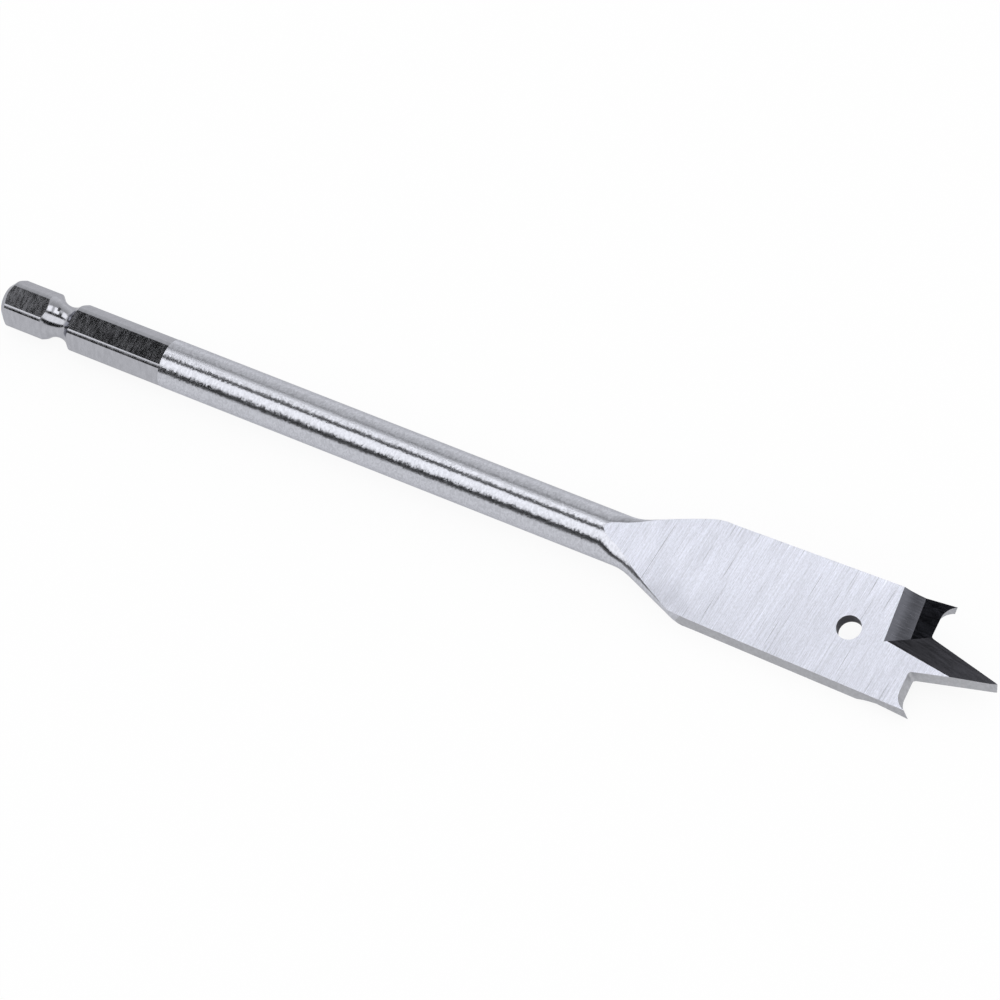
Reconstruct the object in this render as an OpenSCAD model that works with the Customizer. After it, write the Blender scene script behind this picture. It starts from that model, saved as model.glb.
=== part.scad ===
// Spade drill bit in one piece of steel: a hexagonal quick-change shank with a detent groove,
// a round shaft, and a flat blade with two hook-ground lips, two spurs and a long centre point.
// Lengths are in millimetres and angles in degrees. The bit is drawn along +X with the blade's
// front face towards +Z. Its two wings are the same, half a turn apart about the axis. At the end
// it is rolled about its axis until it lies on its shaft and one edge of the blade.

/* [Stock] */
// Length from the end of the shank to the tip of the point
overall_length = 152; // [140:1:170]
// Diameter of the round bar, which the shaft and the corners of the hexagon keep
shaft_diameter = 7; // [6.7:0.1:7.3]

/* [Hexagonal shank] */
// Width across the flats
hex_across_flats = 6.35; // [6:0.05:6.5]
// Length of the flats from the end of the shank
hex_length = 26.6; // [20:0.1:40]
// Turn of the hexagon against the blade
hex_turn = 3; // [-30:1:30]
// Chamfer at the end of the shank
end_chamfer = 1.1; // [0.5:0.1:1.5]
// Distance of the middle of the detent groove from the end of the shank
groove_distance = 9.3; // [8:0.1:12]
// Diameter left at the bottom of the detent groove
groove_diameter = 4.7; // [4.2:0.1:5.2]
// Radius of the round bottom of the detent groove
groove_radius = 2.8; // [2:0.1:4]

/* [Flare] */
// Slope of the flare between the shaft and the blade
flare_angle = 22; // [18:1:30]
// Radius of the hollow where the flare leaves the shaft
flare_fillet = 8; // [4:0.5:10]
// Radius of the round where the flare reaches the blade
shoulder_round = 8; // [4:0.5:10]
// Corner left where the round meets the blade's edge
shoulder_break = 8; // [4:1:12]
// Length over which the faces run down from the shaft to the blade
face_taper_length = 14; // [10:0.5:18]
// Radius of the hollow where the faces become flat
face_blend_radius = 30; // [15:1:40]

/* [Blade] */
// Width across the tips of the spurs, which is the size of the hole it drills
blade_width = 16; // [14:0.5:20]
// Width at the shoulder
shoulder_width = 14.7; // [13:0.1:15.5]
// Thickness of the blade
blade_thickness = 2.4; // [2:0.1:3]
// Length from the shoulder to the lips
blade_length = 32; // [26:0.5:40]
// Slope of the blade's edges, so that only the leading corner rubs
side_relief = 9; // [4:1:12]
// Diameter of the hanging hole
hole_diameter = 3.4; // [2.5:0.1:5]
// Distance of the hanging hole from the lips
hole_setback = 10.4; // [9:0.1:16]

/* [Cutting end] */
// Length of the centre point from the lips to its tip
point_length = 10.6; // [8:0.1:13]
// Width of the centre point at its root
point_width = 5.9; // [5:0.1:7]
// Width of the blunt tip at mid-thickness
tip_width = 0.45; // [0.2:0.05:1]
// Length of the blunt tip
tip_length = 0.6; // [0.3:0.1:1]
// Radius of the corner between the point and a lip
root_fillet = 0.5; // [0.2:0.1:0.8]
// Height of the spurs over the lips
spur_height = 1.5; // [0.8:0.1:1.8]
// Radius of the hollow between a lip and its spur
spur_hollow = 2.1; // [2:0.1:2.8]
// Clearance angle behind the lips
lip_relief = 19; // [10:1:25]
// Clearance angle behind the edges of the point
point_relief = 11; // [5:1:15]

/* [Hook grind] */
// Depth of the recess in front of a lip, at its crease
recess_depth = 1; // [0.6:0.05:1.2]
// Distance of the crease from the lip
rake_length = 2.7; // [2:0.1:4]
// Hook angle of the face that rises from the crease to the lip
hook_angle = 8; // [4:1:12]
// Length of the hollow slope that runs down to the crease
ramp_length = 3; // [2:0.1:4]
// Radius of the hollow slope
ramp_radius = 9; // [6:0.5:20]
// Turn of the recess against the width of the blade
recess_slant = 4.5; // [0:0.5:8]
// Length of the inner end of the recess behind the lip
valley_length = 5; // [4:0.1:6]
// Distance of the inner end of the recess from the axis
valley_offset = 0.15; // [0:0.05:0.5]
// Turn of the ridge on the point against the axis
ridge_angle = 8.4; // [6:0.2:11]
// Slope of the bevel on the point
bevel_angle = 9; // [6:1:12]

/* [Hidden] */
$fn = 96;

hex_sides = 6;
half_turn = 180;

shaft_r = shaft_diameter / 2;
half_thickness = blade_thickness / 2;
half_width = blade_width / 2;

// Room for the cutters to pass right through the bit
reach = overall_length / 2;

// Distance between the stations that are tried for the lowest corner
rest_step = 0.1;

// Stations along the axis, counted from the end of the shank
lip_x = overall_length - point_length;
spur_x = lip_x + spur_height;
shoulder_x = lip_x - blade_length;
crease_x = lip_x - rake_length;
hole_x = lip_x - hole_setback;
taper_x = shoulder_x - face_taper_length;

// Heights of a lip and of its spur's tip on the hooked face
crease_z = half_thickness - recess_depth;
lip_z = crease_z + rake_length * tan(hook_angle);
spur_z = crease_z + (rake_length + spur_height) * tan(hook_angle);

// Back taper of the blade, and the radius of its leading corner at the shoulder
back_taper = atan((half_width - shoulder_width / 2) / (spur_x - shoulder_x));
leading_lift = (half_thickness - spur_z) * tan(side_relief);
shoulder_r = norm([shoulder_width / 2 + leading_lift, half_thickness]);

// Flare, as points of radius and station: crest and both ends of its straight slope
crest = [
    shoulder_r + shoulder_round * (1 - cos(shoulder_break)),
    shoulder_x + shoulder_round * sin(shoulder_break)
];
slope_top = crest - shoulder_round * [1 - cos(flare_angle), sin(flare_angle)];
slope_foot_r = shaft_r + flare_fillet * (1 - cos(flare_angle));
slope_foot = [slope_foot_r, slope_top.y - (slope_top.x - slope_foot_r) / tan(flare_angle)];
flare_x = slope_foot.y - flare_fillet * sin(flare_angle);

// Slope of the faces over the flare, and where its blend starts and ends
face_slope = atan((shaft_r - half_thickness) / face_taper_length);
blend_run = face_blend_radius * tan(face_slope / 2);
blend_start = [
    shoulder_x - blend_run * cos(face_slope),
    half_thickness + blend_run * sin(face_slope)
];
blend_end = [shoulder_x + blend_run, half_thickness];
face_top = shaft_r + blade_thickness;

// Inner end of the recess, from the axis to the root of the lip
valley_foot = [lip_x - valley_length, valley_offset];
valley_angle = atan2(point_width / 2 - valley_offset, valley_length);

// Half thickness at a station of the flare or the blade
function face_z(x) =
    x > blend_end.x ? half_thickness
    : x > blend_start.x
        ? half_thickness + face_blend_radius - sqrt(face_blend_radius ^ 2 - (blend_end.x - x) ^ 2)
        : blend_start.y + (blend_start.x - x) * tan(face_slope);

// Radius that the turned flare leaves at a station
function flare_r(x) =
    x > crest.y ? blade_width
    : x > slope_top.y ? crest.x - shoulder_round + sqrt(shoulder_round ^ 2 - (crest.y - x) ^ 2)
        : slope_top.x - (slope_top.y - x) * tan(flare_angle);

// Distance of a wing's leading corner from the axis at a station, across the blade
function corner_y(x) = min(
    sqrt(flare_r(x) ^ 2 - face_z(x) ^ 2),
    half_width - (spur_x - x) * tan(back_taper)
        + (face_z(x) - spur_z) * tan(side_relief) / cos(back_taper)
);

// Roll at which the shaft and the lowest station of a leading corner touch the table together
rest_roll = min([
    for (x = [slope_foot.y : rest_step : crease_x - ramp_length])
        asin(shaft_r / norm([corner_y(x), face_z(x)])) - atan2(face_z(x), corner_y(x))
]);

// Drift of the ground end for each millimetre of height, along and across the bit
relief_drift = [tan(lip_relief), tan(point_relief) / cos(lip_relief)];

// A point of the plan at lip height, in the plane of the tilted grinding wheel
function on_wheel(plan) = [
    plan.x * cos(lip_relief),
    (plan.y - plan.x * sin(lip_relief) * tan(point_relief)) * cos(point_relief)
];

// The same for a point of the plan at mid-thickness
function mid_on_wheel(plan) = on_wheel(plan + lip_z * relief_drift);

// Does the same to both wings
module both_wings() {
    for (turn = [0, half_turn]) rotate([turn, 0, 0]) children();
}

// Outline of the turned bar as radius and station, from the shank to past the tip
module turned_outline() {
    difference() {
        union() {
            polygon([
                [0, 0],
                [shaft_r - end_chamfer, 0],
                [shaft_r, end_chamfer],
                [shaft_r, flare_x],
                slope_foot,
                slope_top,
                crest,
                [blade_width, crest.y],
                [blade_width, overall_length + tip_length],
                [0, overall_length + tip_length]
            ]);
            intersection() {
                translate([crest.x - shoulder_round, crest.y]) circle(shoulder_round);
                translate([0, slope_top.y]) square([crest.x, shoulder_round]);
            }
        }
        translate([shaft_r + flare_fillet, flare_x]) circle(flare_fillet);
        translate([groove_diameter / 2 + groove_radius, groove_distance]) circle(groove_radius);
    }
}

// Side view that the faces are pressed and ground to
module face_outline() {
    difference() {
        polygon([
            [-reach, face_top],
            [taper_x - (face_top - shaft_r) / tan(face_slope), face_top],
            blend_start,
            blend_end,
            [overall_length + reach, half_thickness],
            [overall_length + reach, -half_thickness],
            [blend_end.x, -blend_end.y],
            [blend_start.x, -blend_start.y],
            [taper_x - (face_top - shaft_r) / tan(face_slope), -face_top],
            [-reach, -face_top]
        ]);
        for (side = [-1, 1])
            translate([blend_end.x, side * (half_thickness + face_blend_radius)])
                circle(face_blend_radius);
    }
}

// Bar with its flare and flat blade, before any cutting
module forged_blank() {
    intersection() {
        rotate([0, 90, 0]) rotate_extrude() turned_outline();
        rotate([90, 0, 0]) linear_extrude(height = 2 * reach, center = true) face_outline();
    }
}

// Cutters that leave the six flats of the shank
module hex_flats() {
    for (side = [0 : hex_sides - 1])
        rotate([hex_turn + side * 360 / hex_sides, 0, 0])
            translate([-reach, -reach, hex_across_flats / 2])
                cube([reach + hex_length, 2 * reach, reach]);
}

// Cutter for the edge of the wing at +Y
module side_cut() {
    translate([spur_x, half_width, spur_z])
        rotate([0, 0, back_taper])
            rotate([-side_relief, 0, 0])
                translate([-reach, 0, -reach])
                    cube(2 * reach);
}

// Outline of the gap ground away between the point and the spur at +Y, in the wheel's plane
module end_gap() {
    root = on_wheel([0, point_width / 2]);
    tip_corner = mid_on_wheel([point_length - tip_length, tip_width / 2]);
    tip = mid_on_wheel([point_length, 0]);
    past_tip = tip + (tip - tip_corner) * reach;
    spur = on_wheel([spur_height, half_width]);
    hollow_y = spur.y - sqrt(spur_hollow ^ 2 - (spur_hollow - spur.x) ^ 2);
    edge = (tip_corner - root) / norm(tip_corner - root);
    half_corner = acos(edge.y) / 2;
    fillet_run = root_fillet / tan(half_corner);
    fillet_centre = root + [root_fillet, fillet_run];
    polygon([
        past_tip,
        tip_corner,
        root + edge * fillet_run,
        root + [0, fillet_run],
        [0, hollow_y],
        [spur_hollow, hollow_y + spur_hollow],
        [reach, hollow_y + spur_hollow],
        [reach, past_tip.y]
    ]);
    translate(fillet_centre) circle(root_fillet);
    intersection() {
        translate([spur_hollow, hollow_y]) circle(spur_hollow);
        translate([0, hollow_y]) square(spur_hollow);
    }
}

// Cutter for the lip, the spur and the edge of the point at +Y
module end_cut() {
    translate([lip_x, 0, lip_z])
        rotate([-point_relief, lip_relief, 0])
            linear_extrude(height = reach, center = true) end_gap();
}

// Side view of the recess: hollow slope, crease and hooked face, from the crease at the origin
module recess_outline() {
    slope = [ramp_length, recess_depth] / 2;
    centre_height = sqrt(ramp_radius ^ 2 - slope * slope);
    centre = [-slope.x, slope.y] + centre_height * [slope.y, slope.x] / norm(slope);
    polygon([[0, 0], [reach, reach * tan(hook_angle)], [reach, reach], [0, reach]]);
    intersection() {
        translate(centre) circle(ramp_radius);
        translate([-2 * ramp_radius, 0]) square(2 * ramp_radius);
    }
}

// Half space on one side of the inner end of the recess, 1 for the wing and -1 for the point
module beside_valley(side) {
    translate([valley_foot.x, valley_foot.y, 0])
        rotate([0, 0, valley_angle])
            translate([0, side * reach, 0])
                cube(2 * reach, center = true);
}

// Cutter for the recess in front of the lip at +Y
module hook_recess() {
    intersection() {
        translate([crease_x, (half_width + valley_offset) / 2, crease_z])
            rotate([90, 0, recess_slant])
                linear_extrude(height = reach, center = true) recess_outline();
        beside_valley(1);
    }
}

// Cutter for the bevel along the point at +Y
module point_bevel() {
    intersection() {
        translate([valley_foot.x, valley_foot.y, half_thickness])
            rotate([0, 0, -ridge_angle])
                rotate([-bevel_angle, 0, 0])
                    translate([-reach, -reach, 0])
                        cube(2 * reach);
        beside_valley(-1);
    }
}

// Cutter for the hole that the bit is hung by
module hanging_hole() {
    translate([hole_x, 0, 0]) cylinder(d = hole_diameter, h = 2 * reach, center = true);
}

// The finished bit, lying on its shaft and on the edge of the wing at -Y
module drill_bit() {
    color([0.8, 0.81, 0.84])
        translate([-overall_length / 2, 0, shaft_r])
            rotate([rest_roll, 0, 0])
                difference() {
                    forged_blank();
                    hex_flats();
                    hanging_hole();
                    both_wings() {
                        side_cut();
                        end_cut();
                        hook_recess();
                        point_bevel();
                    }
                }
}

drill_bit();
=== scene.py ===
"""Spade drill bit on a white table: brushed shaft, ground blade and dark hook grind under studio light."""
import math

import bpy
from mathutils import Matrix, Vector

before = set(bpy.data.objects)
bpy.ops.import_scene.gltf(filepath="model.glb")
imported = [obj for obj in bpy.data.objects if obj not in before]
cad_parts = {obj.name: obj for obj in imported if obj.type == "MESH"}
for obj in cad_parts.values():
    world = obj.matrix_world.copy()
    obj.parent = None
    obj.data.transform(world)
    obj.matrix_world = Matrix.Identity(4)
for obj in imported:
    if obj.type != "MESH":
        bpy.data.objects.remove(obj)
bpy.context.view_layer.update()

# Metres for each millimetre
MM = 0.001

# Camera: its place, what it looks at, its roll and the lens that fits the photograph's frame
CAMERA_AT = Vector((0.2016, -0.29862, 0.45973))
CAMERA_AIM = Vector((0.00337, -0.00105, 0.0035))
CAMERA_ROLL = math.radians(6.165)
CAMERA_LENS = 155.33
CAMERA_CLIP = 0.01
SENSOR = 36.0

# The bit's sizes in millimetres, with stations measured from the shank's end
HALF_LENGTH = 76.0
SHAFT_RADIUS = 3.5
HEX_END = 26.6
FACE_START = 95.4
FACE_TAPER = 14.0
FLARE_END = 109.0
HOLE_X = 131.0
HOLE_REACH = 2.0
RECESS_START = 134.0
HALF_THICKNESS = 1.2

# The blade's own frame, in millimetres: X from the shank's end to the tip, Z out of the front face
REST_ROLL = math.radians(16.7106)
SHANK_END = Vector((-HALF_LENGTH * MM, 0.0, SHAFT_RADIUS * MM))
TO_BLADE = (
    Matrix.Translation(SHANK_END) @ Matrix.Rotation(REST_ROLL, 4, "X") @ Matrix.Scale(MM, 4)
).inverted()
FACE_NORMAL = (0.0, -math.sin(REST_ROLL), math.cos(REST_ROLL))

# Colours of the steel
BRIGHT = (0.555, 0.565, 0.615)
FACE_BRIGHT = (0.625, 0.64, 0.715)
DRAWN = (0.42, 0.425, 0.46)
# The recess's slope, hooked face and point bevel are near black: painted shade and dark reflection at the
# cutting end, not the steel's own colour
RAMP_PAINTED_SHADE = (0.085, 0.087, 0.1)
RAKE_PAINTED_SHADE = (0.05, 0.052, 0.064)
BEVEL_PAINTED_SHADE = (0.04, 0.04, 0.046)
CUT_EDGE = (0.46, 0.465, 0.49)
# The hole's wall is near black: painted shade that stands for the shadowed floor it reflects
HOLE_PAINTED_SHADE = (0.035, 0.035, 0.04)
# How much of its shine steel keeps at a glancing angle
EDGE_SHINE = (0.7, 0.7, 0.72, 1.0)
# Turns the spread of the shine from round the axis to along it
QUARTER_TURN = 0.25


def add_camera():
    data = bpy.data.cameras.new("camera")
    data.sensor_width = SENSOR
    data.lens = CAMERA_LENS
    data.clip_start = CAMERA_CLIP
    camera = bpy.data.objects.new("camera", data)
    bpy.context.scene.collection.objects.link(camera)
    facing = (CAMERA_AIM - CAMERA_AT).to_track_quat("-Z", "Y")
    camera.matrix_world = (
        Matrix.Translation(CAMERA_AT) @ facing.to_matrix().to_4x4() @ Matrix.Rotation(-CAMERA_ROLL, 4, "Z")
    )
    bpy.context.scene.camera = camera


class Shader:
    """A material's node tree, with short ways to add nodes and link them."""

    def __init__(self, name):
        self.material = bpy.data.materials.new(name)
        self.material.use_nodes = True
        self.nodes = self.material.node_tree.nodes
        self.links = self.material.node_tree.links

    def add(self, kind, **settings):
        node = self.nodes.new(kind)
        for key, value in settings.items():
            setattr(node, key, value)
        return node

    def feed(self, socket, value):
        if isinstance(value, bpy.types.NodeSocket):
            self.links.new(value, socket)
        else:
            socket.default_value = value

    def compute(self, kind, operation, values):
        node = self.add(kind, operation=operation)
        for socket, value in zip(node.inputs, values):
            self.feed(socket, value)
        return node.outputs[0]

    def math(self, operation, *values):
        return self.compute("ShaderNodeMath", operation, values)

    def vector(self, operation, *values):
        return self.compute("ShaderNodeVectorMath", operation, values)

    def blade_frame(self):
        """Place on the bit in the blade's own frame, in millimetres."""
        place = self.add("ShaderNodeTexCoord").outputs["Object"]
        mapping = self.add("ShaderNodeMapping", vector_type="TEXTURE")
        mapping.inputs["Location"].default_value = SHANK_END
        mapping.inputs["Rotation"].default_value = (REST_ROLL, 0.0, 0.0)
        mapping.inputs["Scale"].default_value = (MM, MM, MM)
        self.links.new(place, mapping.inputs["Vector"])
        return mapping.outputs[0]

    def marks(self, place, turn, counts, detail, rough):
        """Noise in streaks: a turn about the face's normal, and counts for each millimetre on each axis."""
        turned = self.add("ShaderNodeMapping", vector_type="POINT")
        turned.inputs["Rotation"].default_value = (0.0, 0.0, turn)
        self.links.new(place, turned.inputs["Vector"])
        node = self.add("ShaderNodeTexNoise")
        node.inputs["Scale"].default_value = 1.0
        node.inputs["Detail"].default_value = detail
        node.inputs["Roughness"].default_value = rough
        self.links.new(self.vector("MULTIPLY", turned.outputs[0], counts), node.inputs["Vector"])
        return node.outputs["Fac"]

    def map_range(self, value, low, high, to_low, to_high):
        node = self.add("ShaderNodeMapRange", interpolation_type="SMOOTHSTEP")
        self.feed(node.inputs["Value"], value)
        for name, number in zip(("From Min", "From Max", "To Min", "To Max"), (low, high, to_low, to_high)):
            node.inputs[name].default_value = number
        return node.outputs[0]

    def scaled(self, vector, factor):
        """A colour or direction times a factor that varies over the surface."""
        node = self.add("ShaderNodeVectorMath", operation="SCALE")
        node.inputs[0].default_value = vector
        self.feed(node.inputs["Scale"], factor)
        return node.outputs[0]

    def bump(self, height, distance):
        node = self.add("ShaderNodeBump")
        node.inputs["Strength"].default_value = 1.0
        node.inputs["Distance"].default_value = distance
        self.links.new(height, node.inputs["Height"])
        return node.outputs[0]

    def steel(self, colour, roughness, normal, along=0.0):
        """Bare metal. Along is how much its marks spread the shine along the bit's axis."""
        shader = self.nodes["Principled BSDF"]
        shader.inputs["Metallic"].default_value = 1.0
        shader.inputs["Specular Tint"].default_value = EDGE_SHINE
        self.links.new(colour, shader.inputs["Base Color"])
        self.links.new(roughness, shader.inputs["Roughness"])
        self.links.new(normal, shader.inputs["Normal"])
        if along:
            shader.inputs["Anisotropic"].default_value = along
            shader.inputs["Anisotropic Rotation"].default_value = QUARTER_TURN
            tangent = self.add("ShaderNodeTangent", direction_type="RADIAL", axis="X")
            self.links.new(tangent.outputs[0], shader.inputs["Tangent"])
        return self.material


# Grind of the blade's faces: its turn, how many marks for each millimetre along and across, and their depth
GRIND_TURN = math.radians(6.0)
FINE_COUNT = (9.0, 0.18, 1.0)
SPECKLE_COUNT = (9.0, 2.5, 1.0)
SCRATCH_COUNT = (6.0, 0.07, 1.0)
CLOUD_COUNT = (0.4, 0.1, 1.0)
GRIND_DEPTH = 0.008 * MM
GRIND_SPREAD = 0.9
# Span of each noise, and the brightness or roughness at its ends
SCRATCH_SHADE = (0.31, 0.37, 0.5, 1.0)
GLINT_SHADE = (0.64, 0.7, 1.0, 1.25)
FINE_SHADE = (0.36, 0.64, 0.88, 1.12)
SPECKLE_SHADE = (0.3, 0.7, 0.9, 1.1)
CLOUD_SHADE = (0.35, 0.65, 0.96, 1.03)
GRIND_ROUGHNESS = (0.3, 0.7, 0.4, 0.48)


def face_steel():
    """Blade's faces, ground across with fine marks and some deeper scratches."""
    s = Shader("ground_face")
    place = s.blade_frame()
    fine = s.marks(place, GRIND_TURN, FINE_COUNT, detail=3.0, rough=0.75)
    speckle = s.marks(place, GRIND_TURN, SPECKLE_COUNT, detail=2.0, rough=0.6)
    lines = s.marks(place, GRIND_TURN, SCRATCH_COUNT, detail=3.0, rough=0.65)
    broad = s.marks(place, GRIND_TURN, CLOUD_COUNT, detail=2.0, rough=0.5)
    dark = s.map_range(lines, *SCRATCH_SHADE)
    glint = s.map_range(lines, *GLINT_SHADE)
    light = s.map_range(fine, *FINE_SHADE)
    dots = s.map_range(speckle, *SPECKLE_SHADE)
    cloud = s.map_range(broad, *CLOUD_SHADE)
    scratches = s.math("MULTIPLY", dark, glint)
    shade = s.math("MULTIPLY", s.math("MULTIPLY", scratches, light), s.math("MULTIPLY", dots, cloud))
    rough = s.map_range(fine, *GRIND_ROUGHNESS)
    return s.steel(s.scaled(FACE_BRIGHT, shade), rough, s.bump(fine, GRIND_DEPTH), GRIND_SPREAD)


# Roll of the flare's flanks into the blade's faces: how far the surface tips at the face's edge, the share
# of the edge's height at which that starts, and the length over which it comes in and goes out
FLANK_ROLL = 0.9
ROLL_START = 0.0
ROLL_FADE = 3.0
FACE_SLOPE = (SHAFT_RADIUS - HALF_THICKNESS) / FACE_TAPER


def flank_roll(s, x, z):
    """Tip of the flare's flanks towards the blade's faces, which they meet in a soft edge."""
    slope = s.math("MULTIPLY_ADD", x, -FACE_SLOPE, SHAFT_RADIUS + FACE_START * FACE_SLOPE)
    height = s.math("DIVIDE", s.math("ABSOLUTE", z), s.math("MAXIMUM", slope, HALF_THICKNESS))
    share = s.map_range(height, ROLL_START, 1.0, 0.0, FLANK_ROLL)
    begun = s.map_range(x, FACE_START, FACE_START + ROLL_FADE, 0.0, 1.0)
    left = s.map_range(x, FLARE_END - ROLL_FADE, FLARE_END, 1.0, 0.0)
    amount = s.math("MULTIPLY", share, s.math("MULTIPLY", begun, left))
    return s.scaled(FACE_NORMAL, s.math("MULTIPLY", amount, s.math("SIGN", z)))


# Grains of the brushed shaft: how many for each millimetre and radian, and how far they tip the surface
GRAIN_COUNT = (5.0, 11.0)
GRAIN_TIP = (0.2, 0.06, 0.06)
GRAIN_MIDDLE = (0.5, 0.5, 0.5)
GRAIN_SHADE = (0.1, 0.9, 0.87, 1.07)
GRAIN_ROUGHNESS = (0.1, 0.9, 0.28, 0.3)
GRAIN_SPREAD = 0.98


def shaft_steel():
    """Shaft and flare, brushed round the axis. Each grain tips the surface its own way."""
    s = Shader("brushed_shaft")
    split = s.add("ShaderNodeSeparateXYZ")
    s.links.new(s.blade_frame(), split.inputs[0])
    x, y, z = split.outputs
    place = s.add("ShaderNodeCombineXYZ")
    s.feed(place.inputs[0], s.math("MULTIPLY", x, GRAIN_COUNT[0]))
    s.feed(place.inputs[1], s.math("MULTIPLY", s.math("ARCTAN2", y, z), GRAIN_COUNT[1]))
    voronoi = s.add("ShaderNodeTexVoronoi", voronoi_dimensions="2D")
    voronoi.inputs["Scale"].default_value = 1.0
    s.links.new(place.outputs[0], voronoi.inputs["Vector"])
    grain = voronoi.outputs["Color"]
    tip = s.vector("MULTIPLY", s.vector("SUBTRACT", grain, GRAIN_MIDDLE), GRAIN_TIP)
    plain = s.add("ShaderNodeNewGeometry").outputs["Normal"]
    rolled = s.vector("ADD", plain, flank_roll(s, x, z))
    normal = s.vector("NORMALIZE", s.vector("ADD", rolled, tip))
    shade = s.map_range(grain, *GRAIN_SHADE)
    rough = s.map_range(grain, *GRAIN_ROUGHNESS)
    return s.steel(s.scaled(BRIGHT, shade), rough, normal, GRAIN_SPREAD)


# Drawn surface of the shank: marks for each millimetre, their depth, and what they do to the steel
DRAWN_COUNT = (2.0, 0.6, 0.6)
DRAWN_DEPTH = 0.002 * MM
DRAWN_SHADE = (0.3, 0.7, 0.88, 1.04)
DRAWN_ROUGHNESS = (0.3, 0.7, 0.12, 0.2)


def hex_steel():
    """Drawn flats, lands and groove of the shank."""
    s = Shader("drawn_shank")
    marks = s.marks(s.blade_frame(), 0.0, DRAWN_COUNT, detail=4.0, rough=0.65)
    shade = s.map_range(marks, *DRAWN_SHADE)
    rough = s.map_range(marks, *DRAWN_ROUGHNESS)
    return s.steel(s.scaled(DRAWN, shade), rough, s.bump(marks, DRAWN_DEPTH))


# Hook grind: depth of its marks, what they do to the brightness, and the span and range of the roughness
HOOK_DEPTH = 0.006 * MM
HOOK_SHADE = (0.3, 0.7, 0.75, 1.1)
HOOK_SPAN = (0.3, 0.7)
HOOK_SMOOTHEST = 0.85
HOOK_ROUGHEST = 1.15
# Turn of the marks on the point's bevel
BEVEL_TURN = math.radians(12.0)


def hook_steel(name, colour, roughness, turn, counts):
    """Recess, hooked face and bevel, ground to a shine with marks along the grind; their near-black colour is
    painted shade and dark reflection.
    """
    s = Shader(name)
    marks = s.marks(s.blade_frame(), turn, counts, detail=3.0, rough=0.6)
    shade = s.map_range(marks, *HOOK_SHADE)
    rough = s.map_range(marks, *HOOK_SPAN, roughness * HOOK_SMOOTHEST, roughness * HOOK_ROUGHEST)
    return s.steel(s.scaled(colour, shade), rough, s.bump(marks, HOOK_DEPTH))


# Cut edges: marks for each millimetre, their depth, and what they do to the steel
CUT_COUNT = (2.5, 2.5, 2.0)
CUT_DEPTH = 0.012 * MM
CUT_SHADE = (0.3, 0.7, 0.85, 1.08)
CUT_ROUGHNESS = (0.3, 0.7, 0.42, 0.55)


def wall_steel(name, colour):
    """Edges of the blade, the ends behind the lips and the hole's wall, roughly cut."""
    s = Shader(name)
    marks = s.marks(s.blade_frame(), 0.0, CUT_COUNT, detail=3.0, rough=0.6)
    shade = s.map_range(marks, *CUT_SHADE)
    rough = s.map_range(marks, *CUT_ROUGHNESS)
    return s.steel(s.scaled(colour, shade), rough, s.bump(marks, CUT_DEPTH))


SHAFT, FLAT, FACE, RAMP, RAKE, BEVEL, WALL, HOLE = range(8)

# How surfaces are told apart: the most that a face's normal leans across before the flare's end, the least
# that a face or grind looks up or down, the depth at which the recess starts, and the least lean of the
# point's bevel across and of the recess's ramp along
FACE_LEAN = 0.1
FACE_UPRIGHT = 0.75
RECESS_DEPTH = 0.02
BEVEL_LEAN = 0.08
RAMP_LEAN = 0.02


def surface_of(centre, normal):
    """Which of the bit's surfaces a facet belongs to, from its middle and normal in the blade's frame."""
    if centre.x < HEX_END:
        return FLAT
    if centre.x < FACE_START or (centre.x < FLARE_END and abs(normal.y) > FACE_LEAN):
        return SHAFT
    if abs(normal.z) < FACE_UPRIGHT:
        in_hole = math.hypot(centre.x - HOLE_X, centre.y) < HOLE_REACH
        return HOLE if in_hole else WALL
    if centre.x < RECESS_START or abs(centre.z) > HALF_THICKNESS - RECESS_DEPTH:
        return FACE
    side = 1.0 if centre.z > 0 or normal.z > 0 else -1.0
    if normal.y * side > BEVEL_LEAN:
        return BEVEL
    return RAMP if normal.x > RAMP_LEAN else RAKE


def dress(bit):
    """Gives each facet the steel of its surface. The materials come in the order of the surfaces' numbers."""
    mesh = bit.data
    mesh.materials.clear()
    for material in (
        shaft_steel(),
        hex_steel(),
        face_steel(),
        # Near-black colours of the recess: painted shade and dark reflection
        hook_steel("ramp_painted_shade", RAMP_PAINTED_SHADE, roughness=0.24, turn=0.0, counts=(0.5, 6.0, 1.0)),
        hook_steel("rake_painted_shade", RAKE_PAINTED_SHADE, roughness=0.14, turn=0.0, counts=(0.6, 3.0, 1.0)),
        hook_steel("point_bevel", BEVEL_PAINTED_SHADE, roughness=0.18, turn=BEVEL_TURN, counts=(0.4, 3.0, 1.0)),
        wall_steel("ground_edge", CUT_EDGE),
        # The hole's wall takes a near-black colour: painted shade
        wall_steel("hole_wall_painted_shade", HOLE_PAINTED_SHADE),
    ):
        mesh.materials.append(material)
    turn = TO_BLADE.to_3x3().normalized()
    for facet in mesh.polygons:
        facet.material_index = surface_of(TO_BLADE @ facet.center, (turn @ facet.normal).normalized())


FLOOR_SIZE = 8.0
FLOOR_COLOUR = (0.95, 0.95, 0.95, 1.0)
# Share of plain white in what the camera and the reflections see of the floor, which keeps its shadow
FLOOR_WHITE = 0.9


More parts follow.
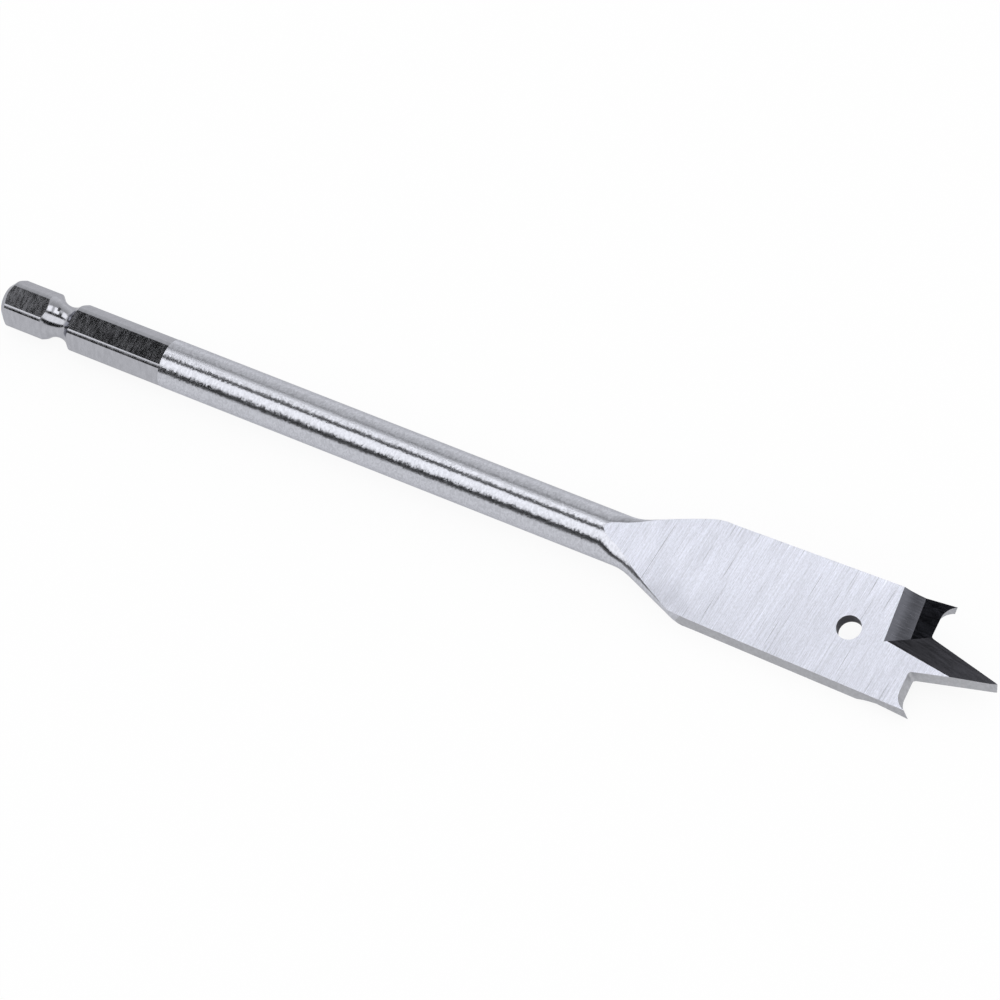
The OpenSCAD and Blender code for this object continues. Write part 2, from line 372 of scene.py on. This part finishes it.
def add_floor():
    half = FLOOR_SIZE / 2
    corners = [(-half, -half, 0), (half, -half, 0), (half, half, 0), (-half, half, 0)]
    mesh = bpy.data.meshes.new("floor")
    mesh.from_pydata(corners, [], [(0, 1, 2, 3)])
    floor = bpy.data.objects.new("floor", mesh)
    bpy.context.scene.collection.objects.link(floor)
    s = Shader("white_floor")
    s.nodes.clear()
    diffuse = s.add("ShaderNodeBsdfDiffuse")
    diffuse.inputs["Color"].default_value = FLOOR_COLOUR
    white = s.add("ShaderNodeEmission")
    path = s.add("ShaderNodeLightPath").outputs
    reflected = s.math("MAXIMUM", path["Is Glossy Ray"], path["Is Transmission Ray"])
    seen = s.math("MAXIMUM", path["Is Camera Ray"], reflected)
    mix = s.add("ShaderNodeMixShader")
    s.feed(mix.inputs["Fac"], s.math("MULTIPLY", seen, FLOOR_WHITE))
    s.links.new(diffuse.outputs[0], mix.inputs[1])
    s.links.new(white.outputs[0], mix.inputs[2])
    s.links.new(mix.outputs[0], s.add("ShaderNodeOutputMaterial").inputs["Surface"])
    mesh.materials.append(s.material)


def add_world():
    world = bpy.data.worlds.new("studio")
    bpy.context.scene.world = world
    world.use_nodes = True
    background = world.node_tree.nodes["Background"]
    background.inputs["Color"].default_value = (1.0, 1.0, 1.0, 1.0)
    background.inputs["Strength"].default_value = 1.0


# Panels round the bit, as strips that run along its axis. Cards stand in front of the softboxes.
CARD_RADIUS = 0.47
SOFTBOX_RADIUS = 0.5
PANEL_STEPS = 16
PANEL_END = 1.2
CARD_LIGHT = 0.02


def add_panel(name, radius, angles, stations, lights):
    """A curved card or softbox round the bit's axis, whose light fades from its first angle to its last.

    Angles are in degrees, from straight up towards the viewer's side, and stations lie along the axis.
    """
    points = []
    levels = []
    for step in range(PANEL_STEPS + 1):
        share = step / PANEL_STEPS
        angle = math.radians(angles[0] + (angles[1] - angles[0]) * share)
        for x in stations:
            points.append((x, -radius * math.sin(angle), radius * math.cos(angle)))
            levels.append(lights[0] + (lights[1] - lights[0]) * share)
    faces = [(2 * i, 2 * i + 1, 2 * i + 3, 2 * i + 2) for i in range(PANEL_STEPS)]
    mesh = bpy.data.meshes.new(name)
    mesh.from_pydata(points, [], faces)
    light = mesh.attributes.new("light", "FLOAT", "POINT")
    light.data.foreach_set("value", levels)
    panel = bpy.data.objects.new(name, mesh)
    bpy.context.scene.collection.objects.link(panel)
    s = Shader(name)
    s.nodes.clear()
    level = s.add("ShaderNodeAttribute", attribute_name="light").outputs["Fac"]
    glow = s.add("ShaderNodeEmission")
    s.links.new(level, glow.inputs["Strength"])
    s.links.new(glow.outputs[0], s.add("ShaderNodeOutputMaterial").inputs["Surface"])
    mesh.materials.append(s.material)
    panel.visible_camera = False
    panel.visible_diffuse = False
    panel.visible_shadow = False


def add_softbox(name, angles, stations, lights):
    add_panel(name, SOFTBOX_RADIUS, angles, stations, lights)


def add_card(name, angles, stations):
    add_panel(name, CARD_RADIUS, angles, stations, (CARD_LIGHT, CARD_LIGHT))


bpy.context.scene.view_settings.view_transform = "Standard"
dress(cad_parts["drill_bit"])
add_camera()
add_floor()
add_world()
add_softbox("front_softbox", (22, 64), (-PANEL_END, PANEL_END), (1.6, 1.6))
add_softbox("top_softbox", (-30, 9), (-0.15, 0.12), (2.2, 2.2))
add_softbox("right_softbox", (-29, 9), (0.28, PANEL_END), (2.1, 2.1))
add_softbox("left_softbox", (-29, 9), (-PANEL_END, -0.36), (2.0, 2.0))
add_softbox("back_softbox", (-95, -30), (-PANEL_END, PANEL_END), (1.2, 0.5))
add_card("low_card", (64, 92), (-PANEL_END, PANEL_END))
add_card("thin_card", (6, 23), (-PANEL_END, PANEL_END))
add_card("top_card", (-12, 10), (-0.33, -0.17))
add_card("point_card", (-40, -14), (-0.14, -0.02))
